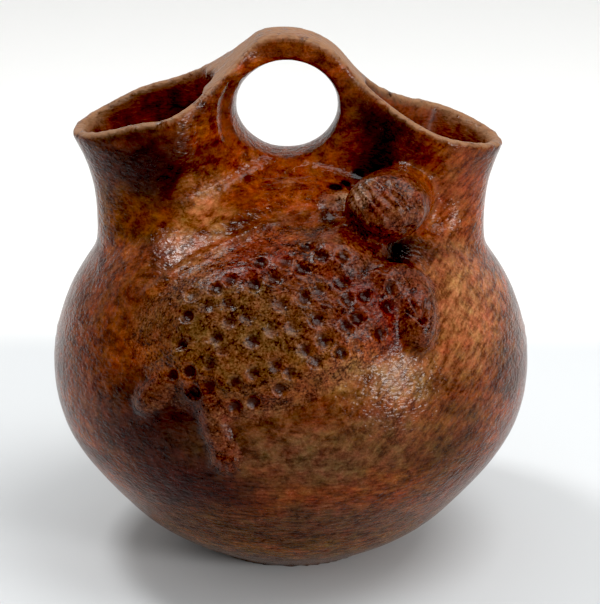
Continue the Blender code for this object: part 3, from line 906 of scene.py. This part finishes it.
@dataclass(frozen=True)
class BurnishedEarthenware:
    """Reddish brown clay, burnished and coated with pitch, with orange, maroon and olive clouds,
    with painted shade in its pits, creases, holes and a few patches, and painted highlights on a
    few patches and flecks.
    """

    name: str = "burnished_earthenware"
    rust: Colour = (0.115, 0.024, 0.005)
    ember: Colour = (0.205, 0.042, 0.006)
    dusk: Colour = (0.062, 0.016, 0.005)
    # Near black for the scar's holes: painted shade.
    hole_shade_colour: Colour = (0.012, 0.004, 0.003)
    maroon: Colour = (0.080, 0.018, 0.007)
    # Colour of the scale pits and pressed grooves: partly darker clay, partly painted shade.
    pit_colour_and_shade: Colour = (0.018, 0.005, 0.004)
    # Pale clay on the upward tops of the rims and strap: partly worn clay, partly painted top
    # light.
    lip_clay_and_top_light: Colour = (0.265, 0.138, 0.070)
    bare_clay: Colour = (0.420, 0.250, 0.150)
    # Pale flecks on the toad's raised grit: partly dry clay, partly painted highlight.
    dry_clay_and_highlight: Colour = (0.270, 0.150, 0.070)
    mouth_rust: Colour = (0.170, 0.030, 0.006)
    mouth_shade: Colour = (0.035, 0.007, 0.003)
    roughness: float = 0.22
    specular: float = 0.19
    coat: float = 0.04
    coat_roughness: float = 0.20
    roughening: tuple[float, ...] = (0.30, 0.20, 0.30, 0.08, 0.35)
    relief: float = 0.0011
    relief_strength: float = 0.85
    relief_shares: Point = (0.52, 0.50, 0.12)
    stir: Grain = Grain(1 / 38, 4)
    stir_reach: Point = (0.045, 0.045, 0.030)
    bands: Grain = Grain(0.055, 5, 0.62, 0, 4.5)
    rust_band: Pair = (0.36, 0.52)
    ember_band: Pair = (0.53, 0.70)
    grit: Grain = Grain(0.0011, 3, 0.8)
    mottle: Grain = Grain(0.0050, 4, 0.7, 0.6)
    tinge: Grain = Grain(0.0070, 4, 0.65)
    turned: Grain = Grain(0.0075, 5, 0.65, 0, 5)
    rubbed: Grain = Grain(0.0075, 5, 0.65, 0, 3.5)
    dabbed: Grain = Grain(0.0060, 5, 0.65, 0.5, 1.5)
    facets: Grain = Grain(0.0024, 1.5, 0.5, 0, 1.8)
    dents: Grain = Grain(0.0060, 1)
    rub_angle: float = 0.8
    turned_below: Pair = (0.090, 0.055)
    rubbed_beyond: Pair = (0.015, 0.045)
    mottle_stain: float = 2.4
    streak_stain: float = 3.6
    grit_stain: float = 1.8
    toad_grit_stain: float = 4.0
    # How far the crease round each limb is darkened: painted shade.
    painted_crease_shade: float = 0.35
    hollow_clean: float = 0.7
    darkest: float = 0.40
    toad_darker: float = 0.25
    tinge_strength: float = 1.3
    tinge_red: float = 0.5
    tinge_green: float = 0.6
    deepening: Pair = (1.25, 1.4)
    limb_share: float = 0.8
    mouth_mottle: Pair = (0.15, 0.85)
    dry_and_highlight_grit: Pair = (0.58, 0.70)
    dry_and_highlight_share: float = 0.5
    pit_edge: Pair = (0.15, 0.80)
    rim_wear_and_light_mottle: Pair = (0.25, 0.55)
    cover: float = 0.85
    torn_grit: Pair = (0.35, 0.60)
    hole_shade_edge: Pair = (0.3, 0.7)
    clouds: tuple[Cloud, ...] = (
        Cloud((0, 0, 20), (110, 110, 34), (127, 55, 20), 0.85, 0.6),
        Cloud((-4, -21, 174), (31, 37, 14), (189, 35, 7)),
        Cloud((67, -24, 168), (24, 36, 25), (178, 36, 10), 0.85),
        Cloud((-62, -35, 185), (32, 40, 17), (11, 2, 2), 0.95),
        # Near black right of the finger hole, under the strap's right end: painted shade.
        Cloud((32, -11, 192), (13, 36, 22), (14, 5, 6), 0.9),
        Cloud((-73, -26, 159), (19, 36, 12), (147, 39, 2), 0.8),
        Cloud((-82, -48, 119), (23, 36, 29), (120, 22, 2), 0.8),
        Cloud((-18, -91, 133), (50, 54, 25), (86, 32, 10), 0.95),
        # Very pale patch on the left shoulder, where the upper left highlight falls: painted
        # highlight.
        Cloud((-37, -43, 160), (13, 36, 20), (544, 209, 77), 0.4),
        Cloud((-18, -70, 153), (37, 54, 8), (77, 5, 2), 0.7),
        Cloud((39, -77, 139), (26, 36, 19), (82, 5, 2), 0.95),
        Cloud((16, -89, 135), (20, 36, 19), (71, 15, 5), 0.7),
        Cloud((40, -67, 176), (24, 36, 16), (93, 22, 7), 0.95),
        # Near black under the toad's head: painted shadow of the head.
        Cloud((43, -53, 151), (16, 36, 7), (2, 3, 2), 0.95),
        Cloud((75, -50, 129), (26, 36, 29), (252, 87, 33), 0.85),
        # Paler patch on the belly where the right front lamp's highlight falls: partly a paler fire
        # cloud, partly painted highlight.
        Cloud((40, -88, 108), (32, 40, 12), (183, 80, 26), 0.7),
        # The next two dark patches, below the toad's tail and hind foot, are partly a dark fire
        # cloud and partly painted shade under the toad's body.
        Cloud((-49, -88, 84), (38, 46, 26), (17, 3, 2), 0.92),
        Cloud((-41, -87, 60), (32, 40, 14), (17, 2, 2), 0.8),
        Cloud((-8, -99, 99), (25, 36, 8), (97, 24, 8), 0.85),
        Cloud((13, -99, 79), (50, 54, 19), (82, 35, 14), 0.9),
        Cloud((66, -77, 75), (26, 36, 30), (62, 21, 5), 0.8),
        Cloud((0, -83, 40), (68, 54, 16), (62, 22, 10), 0.9),
    )

    def clay(self, sheet: NodeSheet, place: Wire) -> Wire:
        """Builds the colour of the clay under its fire clouds and its patches of painted shade and
        painted highlight.

        Args:
            sheet: The material's nodes.
            place: The place on the pot.

        Returns:
            The colour.
        """
        stir = sheet.vector("SUBTRACT", sheet.grain(place, self.stir, "Color"), (0.5, 0.5, 0.5))
        stirred = sheet.vector("ADD", place, sheet.vector("MULTIPLY", stir, self.stir_reach))
        shade = sheet.grain(stirred, self.bands)
        tint = sheet.mix(shade.step(*self.rust_band), self.dusk, self.rust)
        tint = sheet.mix(shade.step(*self.ember_band), tint, self.ember)
        for cloud in self.clouds:
            rows = (cloud.centre, cloud.radii, cloud.colour)
            centre, radii, colour = [[part / 1000 for part in row] for row in rows]
            away = sheet.vector("SUBTRACT", stirred, centre)
            away = sheet.vector("MULTIPLY", away, [1 / radius for radius in radii])
            away = sheet.vector("LENGTH", away, (0, 0, 0), "Value")
            share = 1 - away.step(1 - cloud.softness, 1 + cloud.softness / 2)
            tint = sheet.mix(share * cloud.strength, tint, colour)
        return tint

    def streaks(self, sheet: NodeSheet, place: Wire) -> Wire:
        """Builds the strokes of the burnishing: level low down, slanting on the right, else dabs.

        Args:
            sheet: The material's nodes.
            place: The place on the pot.

        Returns:
            The strokes, around 0.5.
        """
        east, _, level = sheet.split(place)
        low, right = level.step(*self.turned_below), east.step(*self.rubbed_beyond)
        sockets = {"Vector": place, "Angle": self.rub_angle}
        tilted = sheet.node("ShaderNodeVectorRotate", {"rotation_type": "Y_AXIS"}, sockets)
        dabbed = sheet.grain(place, self.dabbed) * (1 - right)
        upper = sheet.grain(tilted, self.rubbed) * right + dabbed
        return sheet.grain(place, self.turned) * low + upper * (1 - low)

    def build(self) -> bpy.types.Material:
        """Builds the material.

        Returns:
            The material.
        """
        material = bpy.data.materials.new(self.name)
        sheet = NodeSheet.of_material(material)
        place = sheet.place()
        names = ("hollow", "lip", "pits", "toad", "limbs", "crease", "hole_shade", "scar")
        hollow, lip, pits, toad, limbs, crease, hole_shade, scar = map(sheet.mark, names)
        grit, mottle = sheet.grain(place, self.grit), sheet.grain(place, self.mottle)
        # Upward rim and strap tops are paled: partly wear, partly painted top light.
        rim_wear_and_top_light = lip * mottle.step(*self.rim_wear_and_light_mottle)

        mouth = sheet.mix(mottle.step(*self.mouth_mottle), self.mouth_shade, self.mouth_rust)
        tint = sheet.mix(limbs * self.limb_share, self.clay(sheet, place), self.maroon)
        tint = sheet.mix(hollow, tint, mouth)
        streaks = (self.streaks(sheet, place) - 0.5) * self.streak_stain
        grains = (grit - 0.5) * (toad * self.toad_grit_stain + self.grit_stain)
        stains = (mottle - 0.5) * self.mottle_stain + streaks + grains
        # Besides the random stains, the crease round each limb is darkened here as painted shade.
        shade = 1 + stains * (1 - hollow * self.hollow_clean) - crease * self.painted_crease_shade
        shade = shade.math("MAXIMUM", self.darkest - toad * self.toad_darker)
        tinge = (sheet.grain(place, self.tinge) - 0.5) * self.tinge_strength
        red = shade * (1 + tinge * self.tinge_red)
        green, blue = [shade**power for power in self.deepening]
        stain = {0: red, 1: green * (1 - tinge * self.tinge_green), 2: blue}
        tint = sheet.vector("MULTIPLY", tint, sheet.node("ShaderNodeCombineXYZ", {}, stain))
        layers = (
            # Pale flecks on the toad's raised grit: partly dry clay, partly painted highlight.
            (grit.step(*self.dry_and_highlight_grit) * toad * self.dry_and_highlight_share, self.dry_clay_and_highlight),
            # Scale pits and pressed grooves darkened: partly darker clay, partly painted shade.
            (pits.step(*self.pit_edge) * self.cover, self.pit_colour_and_shade),
            (rim_wear_and_top_light * self.cover, self.lip_clay_and_top_light),
            (scar * grit.step(*self.torn_grit), self.bare_clay),
            # The scar's holes painted near black: painted shade.
            (hole_shade.step(*self.hole_shade_edge), self.hole_shade_colour),
        )
        for share, colour in layers:
            tint = sheet.mix(share, tint, colour)

        parts = zip((mottle - 0.5, grit - 0.5, rim_wear_and_top_light, toad, hollow), self.roughening)
        rough = sum((part * share for part, share in parts), self.roughness)
        facets, dents = sheet.grain(place, self.facets), sheet.grain(place, self.dents)
        parts = zip((facets, dents, grit * toad), self.relief_shares)
        height = sum(part * share for part, share in parts)
        relief = {"Strength": self.relief_strength, "Distance": self.relief, "Height": height}
        bump = sheet.node("ShaderNodeBump", {}, relief)
        sheet.feed(Base_Color=tint, Roughness=rough, Normal=bump)
        sheet.feed(Coat_Weight=self.coat, Coat_Roughness=self.coat_roughness)
        sheet.feed(Specular_IOR_Level=self.specular)
        return material


@dataclass
class WeddingVase:
    """The whole vase, shaped as its solid is and then worked more finely."""

    name: str = "vase_body"
    form: VesselForm = field(default_factory=VesselForm)
    toad: HornedToad = field(default_factory=HornedToad)
    finish: BurnishedEarthenware = field(default_factory=BurnishedEarthenware)
    grain: float = 0.0016
    smoothing: int = 14
    inner_share: float = 0.10
    plain_share: float = 0.55
    worked_reach: float = 0.006
    worked_margin: float = 0.12
    unevenness: float = 0.0007
    dents: tuple[Point, ...] = ((0.045, 1.6, 0.6), (0.018, 2.2, 0.25), (0.007, 1.5, 0.15))
    even_foot: float = 0.004
    head_margin: float = 1.25
    probe: float = 0.001
    head_points: int = 64
    hole_points: int = 128
    hole_steps: int = 25
    trim_points: int = 121
    web_points: int = 49
    web_steps: int = 17
    hole_overshoot: float = 2.5
    trim_overshoot: float = 1.2
    front_facing: Pair = (0, 0.1)
    lip_depth: Pair = (0.0075, 0.0025)
    lip_facing: Pair = (0.05, 0.7)
    head_edge: Pair = (1.15, 1)
    body_edge: Pair = (-0.05, 0.15)

    def front_place(self, rise: float, x: float) -> tuple[Vector, Vector]:
        """Finds a point on the front of the blank.

        Args:
            rise: The way up the front.
            x: The place across it.

        Returns:
            The point and the direction it faces.
        """
        form, step = self.form, self.probe
        heights = np.arange(0, form.strap_top, step / 4)
        above = heights - form.belly_height
        rises = self.toad.front_radius * np.arctan2(above, form.depth(x, heights))
        z = float(np.interp(rise, rises, heights))
        along = float(form.depth(x + step, z) - form.depth(x - step, z)) / (2 * step)
        upwards = float(form.depth(x, z + step) - form.depth(x, z - step)) / (2 * step)
        return Vector((x, -float(form.depth(x, z)), z)), Vector((-along, -1, -upwards)).normalized()

    def press_on(self, lump: ClayLump) -> Clay:
        """Builds one of the toad's lumps of clay on the front of the blank.

        Args:
            lump: The lump's place and size.

        Returns:
            The lump.
        """
        place, facing = self.front_place(lump.rise, lump.x)
        across = Vector((1, 0, 0)).cross(facing).normalized()
        along = across.cross(facing).normalized()
        spin = Matrix.Rotation(math.radians(lump.turn), 3, facing)
        long, wide = spin @ along * lump.half_length, spin @ across * lump.half_width
        axes = Matrix((long, wide, facing * lump.half_height)).transposed().to_4x4()
        return Clay.ball(Matrix.Translation(place) @ axes)

    def head(self) -> Clay:
        """Builds the toad's head, a thick round drum of clay facing the viewer.

        Returns:
            The head.
        """
        toad, turn = self.toad, circle(self.head_points)
        axis = Vector(toad.head_axis).normalized()
        side = axis.cross(Vector((0, 0, 1))).normalized()
        over = side.cross(axis).normalized()
        outline = np.outer(np.cos(turn), side) + toad.head_tallness * np.outer(np.sin(turn), over)
        rings = []
        for back, radius in toad.head_profile:
            middle = np.array(Vector(toad.head_centre) - axis * (back * toad.head_length))
            rings.append(middle + radius * toad.head_radius * outline)
        return Clay.loft("head", rings)

    def flares(self, bend: float, reach: float, steps: int) -> list[Pair]:
        """Works out how a tool along the y axis widens from its waist towards its ends.

        Args:
            bend: How far from the waist it widens.
            reach: How far from the waist it ends.
            steps: How many places there are where it widens.

        Returns:
            Places along the y axis, and how much of the whole flare each has.
        """
        places = np.concatenate([[-reach], np.linspace(-1, 1, steps) * bend, [reach]])
        return [(y, 1 - math.sqrt(1 - min(abs(y) / bend, 1) ** 2)) for y in places]

    def finger_hole(self) -> Clay:
        """Builds a spool whose waist is the finger hole and whose ends flare with the clay.

        Returns:
            The spool.
        """
        form, turn = self.form, circle(self.hole_points)
        reach = self.hole_overshoot * form.hole_reach
        rings = []
        for y, flare in self.flares(form.hole_reach, reach, self.hole_steps):
            radius = form.hole_radius + form.hole_flare * flare
            across = form.hole_x + (radius + form.hole_extra_width) * np.cos(turn)
            rings.append(outline_at(y, across, form.hole_height + radius * np.sin(turn)))
        return Clay.loft("finger_hole", rings)

    def rim_trimmer(self) -> Clay:
        """Builds a block of everything above the line of the rims.

        Returns:
            The block.
        """
        form = self.form
        reach, top = self.trim_overshoot * form.mouth_half_width, form.blank_top + form.headroom
        across = np.linspace(-reach, reach, self.trim_points)
        x = np.concatenate([across, [reach, -reach]])
        z = np.concatenate([form.rim_height(across), [top, top]])
        ends = (-2 * form.spout_half_depth, 2 * form.spout_half_depth)
        return Clay.loft("rim_trimmer", [outline_at(y, x, z) for y in ends])

    def web(self) -> Clay:
        """Builds the clay left round the finger hole, with a rounded face towards each spout.

        Returns:
            The clay.
        """
        form, top = self.form, self.form.blank_top + self.form.headroom
        lower = np.linspace(math.pi, 2 * math.pi, self.web_points)
        reach = 2 * form.spout_half_depth
        rings = []
        for y, flare in self.flares(form.mouth_end_radius, reach, self.web_steps):
            radius = form.hole_radius + form.web + form.web_flare * flare
            far = radius + form.web_lean * (top - form.hole_height)
            x = np.concatenate([radius * np.cos(lower), [far, -far]])
            z = np.concatenate([form.hole_height + radius * np.sin(lower), [top, top]])
            rings.append(outline_at(y, x, z))
        return Clay.loft("web", rings)

    def hollow(self) -> Clay:
        """Builds the space inside the vase.

        Returns:
            The space.
        """
        space = Clay.loft("hollow", self.form.inside(self.form.blank()))
        web = self.web()
        space.carve(web)
        space.settle(web)
        return space

    def rough_out(self) -> Clay:
        """Shapes the vase as a potter does: blank, pressed lumps, rims, finger hole and hollow.

        Returns:
            The vase with softly worn edges.
        """
        vase = Clay.loft(self.name, self.form.blank())
        added = [self.press_on(lump) for lump in self.toad.lumps] + [self.head()]
        cuts = [self.rim_trimmer(), self.finger_hole(), self.hollow()]
        for tool in added:
            vase.carve(tool, Operation.JOIN)
        for tool in cuts:
            vase.carve(tool)
        vase.modify("REMESH", mode="VOXEL", voxel_size=self.grain, use_smooth_shade=True)
        vase.modify("SMOOTH", iterations=self.smoothing)
        vase.settle(*added, *cuts)
        return vase

    def rises(self, places: Array) -> Array:
        """Gives the way up the front of each place."""
        above = places[:, 2] - self.form.belly_height
        return self.toad.front_radius * np.arctan2(above, -places[:, 1])

    def on_front(self, places: Array, facing: Array) -> Array:
        """Gives how far the toad's relief holds at each place: 1 on the front's outer face."""
        forward = places[:, 1] < -self.form.strap_half_depth
        return smoothstep(*self.front_facing, -facing[:, 1]) * forward

    def worked(self, places: Array, facing: Array) -> Array:
        """Tells which places the maker worked closely on the front: the toad and its parts.

        Args:
            places: Points on the vase.
            facing: The directions they face.

        Returns:
            True for each such place.
        """
        x, rise = places[:, 0], self.rises(places)
        near = self.toad.reach(*self.toad.place(x, rise)) > -self.worked_margin
        for lump in self.toad.lumps:
            reach = (1 + self.worked_margin) * lump.half_length
            near |= np.hypot(x - lump.x, rise - lump.rise) < reach
        away = np.linalg.norm(places - self.toad.head_centre, axis=1)
        near |= away < self.head_margin * self.toad.head_radius
        return near & (self.on_front(places, facing) > 0)

    def edges(self, x: Array, z: Array) -> Array:
        """Tells which places are at the rims or at the edge of the finger hole."""
        hole = np.hypot(x, z - self.form.hole_height) - self.form.hole_radius
        return np.minimum(np.abs(z - self.form.rim_height(x)), np.abs(hole)) < self.worked_reach

    def share_out(self, vase: Clay) -> None:
        """Thins the hollow and the plain outside, and refines the toad and its parts.

        Args:
            vase: The vase.
        """
        places, _ = vase.surface()
        vase.thin(self.form.is_outside(places), self.inner_share)
        places, facing = vase.surface()
        kept = self.worked(places, facing) | self.edges(places[:, 0], places[:, 2])
        vase.thin(kept | ~self.form.is_outside(places), self.plain_share)
        vase.refine(self.worked(*vase.surface()))

    def unevenness_at(self, places: Array) -> Array:
        """Gives how deep each place lies in the hollows that hands left, from 0 to 1."""
        dents = ((part, places / size * (1, 1, flat)) for size, flat, part in self.dents)
        return np.clip(sum(part * (0.5 + 0.5 * noise_at(spots)) for part, spots in dents), 0, 1)

    def finish_off(self, vase: Clay) -> None:
        """Raises the toad, marks its head, leaves the hand's unevenness and levels the foot.

        Args:
            vase: The vase.
        """
        places, facing = vase.surface()
        front = self.on_front(places, facing)
        height, pits = self.toad.relief(places[:, 0], self.rises(places))
        outwards = places - (0, 0, self.form.belly_height)
        outwards /= np.linalg.norm(outwards, axis=1, keepdims=True)
        outside = self.form.is_outside(places)
        places = places + outwards * (front * height)[:, None]
        sunk = self.unevenness * self.unevenness_at(places) * outside
        sunk *= smoothstep(0, self.even_foot, places[:, 2])
        places -= facing * (sunk + self.toad.head_marks(places, facing))[:, None]
        places -= np.outer(self.toad.rounding(places), self.toad.snout)
        places[:, 2] = np.where(places[:, 2] < self.form.foot_level, 0, places[:, 2])
        vase.move_to(places)
        self.leave_marks(vase, outside, front, pits)

    def leave_marks(self, vase: Clay, outside: Array, front: Array, pits: Array) -> None:
        """Writes on the mesh where each part of the finish goes.

        Args:
            vase: The vase.
            outside: True for each place on the outer face.
            front: Where the toad's relief holds.
            pits: How deep each place lies in a scale.
        """
        places, facing = vase.surface()
        toad, x, rise = self.toad, places[:, 0], self.rises(places)
        below = self.form.rim_height(x) - places[:, 2]
        limbs, crease = toad.limbs(x, rise)
        head = smoothstep(*self.head_edge, toad.head_share(places))
        body = front * smoothstep(*self.body_edge, toad.reach(*toad.place(x, rise)))
        limbs = np.maximum(front * limbs, head)
        marks = {
            "hollow": (~outside).astype(float),
            # lip: the upward rim and strap tops, paled partly as wear, partly as painted top light.
            "lip": smoothstep(*self.lip_depth, below) * smoothstep(*self.lip_facing, facing[:, 2]),
            # pits: how deep each place lies in a scale pit or groove, darkened partly as painted
            # shade.
            "pits": front * pits,
            "toad": np.maximum(body, limbs),
            "limbs": limbs,
            # crease: where the crease round each limb gets painted shade.
            "crease": front * crease * (1 - head),
            # The next mark holds the scar's holes, which are painted near black as painted shade.
            "hole_shade": outside * nearness(toad.hole_shade, toad.hole_shade_radius, places),
            "scar": outside * nearness(toad.torn_edge, toad.torn_radius, places),
        }
        for name, values in marks.items():
            vase.mark(name, values)

    def build(self) -> bpy.types.Object:
        """Builds the vase and dresses it.

        Returns:
            The vase's object, riding on the frame in place of its solid.
        """
        vase = self.rough_out()
        self.share_out(vase)
        self.finish_off(vase)
        vase.smooth()
        shape = vase.shape
        shape.data.materials.clear()
        shape.data.materials.append(self.finish.build())
        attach(shape, "root")
        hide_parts("wedding_vase")
        counts = len(shape.data.vertices), len(shape.data.polygons)
        log.info("%s: %d points, %d faces", self.name, *counts)
        return shape


@dataclass(frozen=True)
class SoftLamp:
    """A soft light panel that faces the vase."""

    name: str
    place: Point
    size: Pair
    power: float

    def build(self, target: Vector) -> None:
        """Hangs the lamp.

        Args:
            target: What the lamp is aimed at.
        """
        light = bpy.data.lights.new(self.name, "AREA")
        light.shape = "RECTANGLE"
        light.size, light.size_y = self.size
        light.energy = self.power
        lamp = bpy.data.objects.new(self.name, light)
        lamp.location = self.place
        lamp.rotation_euler = (target - lamp.location).to_track_quat("-Z", "Y").to_euler()
        bpy.context.scene.collection.objects.link(lamp)


@dataclass
class Studio:
    """The pale paper, the soft lamps and the camera, which looks as the photograph does."""

    paper: Colour = (0.90, 0.90, 0.89)
    table: Colour = (0.66, 0.68, 0.69)
    table_edge: Pair = (0.22, 0.30)
    paper_roughness: float = 0.9
    half_width: float = 2.2
    front: float = -2.2
    back: float = 1.1
    bend: float = 0.5
    bend_steps: int = 16
    wall_height: float = 2.2
    camera_elevation: float = math.radians(20)
    camera_distance: float = 1.0
    target: Point = (0.0040, 0, 0.1105)
    focal_length: float = 136.25
    film: float = 36.0
    air: float = 0.56
    black_point: float = 0.019
    lamps: tuple[SoftLamp, ...] = (
        SoftLamp("left_back", (-0.50, 0.22, 1.15), (0.24, 0.28), 6.5),
        SoftLamp("ceiling", (0.55, -0.15, 1.35), (0.8, 0.8), 11.0),
        SoftLamp("right_front", (1.05, -0.95, 0.42), (0.29, 0.33), 10.0),
    )

    def sweep(self) -> None:
        """Lays the paper: a floor that curves up into a wall."""
        turn = np.linspace(0, math.pi / 2, self.bend_steps)
        curve = [(self.back + self.bend * math.sin(t), self.bend * (1 - math.cos(t))) for t in turn]
        line = [(self.front, 0.0), *curve, (self.back + self.bend, self.wall_height)]
        work = bmesh.new()
        sides = (-self.half_width, self.half_width)
        left, right = [[work.verts.new((x, y, z)) for y, z in line] for x in sides]
        for i in range(len(line) - 1):
            work.faces.new((left[i], right[i], right[i + 1], left[i + 1]))
        swept = Clay.of_mesh("paper_sweep", work)
        swept.smooth()
        material = bpy.data.materials.new("paper")
        sheet = NodeSheet.of_material(material)
        beyond = sheet.split(sheet.place())[1].step(*self.table_edge)
        tint = sheet.mix(beyond, self.table, self.paper)
        sheet.feed(Base_Color=tint, Roughness=self.paper_roughness)
        paper = swept.shape
        paper.data.materials.append(material)

    def camera(self) -> None:
        """Sets up the camera."""
        lens = bpy.data.cameras.new("camera")
        lens.lens = self.focal_length
        lens.sensor_width = self.film
        lens.sensor_fit = "HORIZONTAL"
        camera = bpy.data.objects.new("camera", lens)
        away = Vector((0, -math.cos(self.camera_elevation), math.sin(self.camera_elevation)))
        camera.location = Vector(self.target) + away * self.camera_distance
        camera.rotation_euler = (-away).to_track_quat("-Z", "Y").to_euler()
        bpy.context.scene.collection.objects.link(camera)
        bpy.context.scene.camera = camera

    def build(self) -> None:
        """Sets up the paper, the lamps, the air's own light and the camera."""
        self.sweep()
        for lamp in self.lamps:
            lamp.build(Vector(self.target))
        world = bpy.data.worlds.new("air")
        world.use_nodes = True
        world.node_tree.nodes["Background"].inputs["Strength"].default_value = self.air
        world.node_tree.nodes["Background"].inputs["Color"].default_value = (1, 1, 1, 1)
        bpy.context.scene.world = world
        view = bpy.context.scene.view_settings
        view.view_transform = "Standard"
        view.use_curve_mapping = True
        view.curve_mapping.black_level = (self.black_point,) * 3
        self.camera()


def main() -> None:
    """Builds the vase and its studio."""
    logging.basicConfig(level=logging.INFO, format="%(name)s: %(message)s")
    vase = WeddingVase().build()
    Studio().build()
    log.info("built %s", vase.name)


if __name__ == "__main__":
    main()
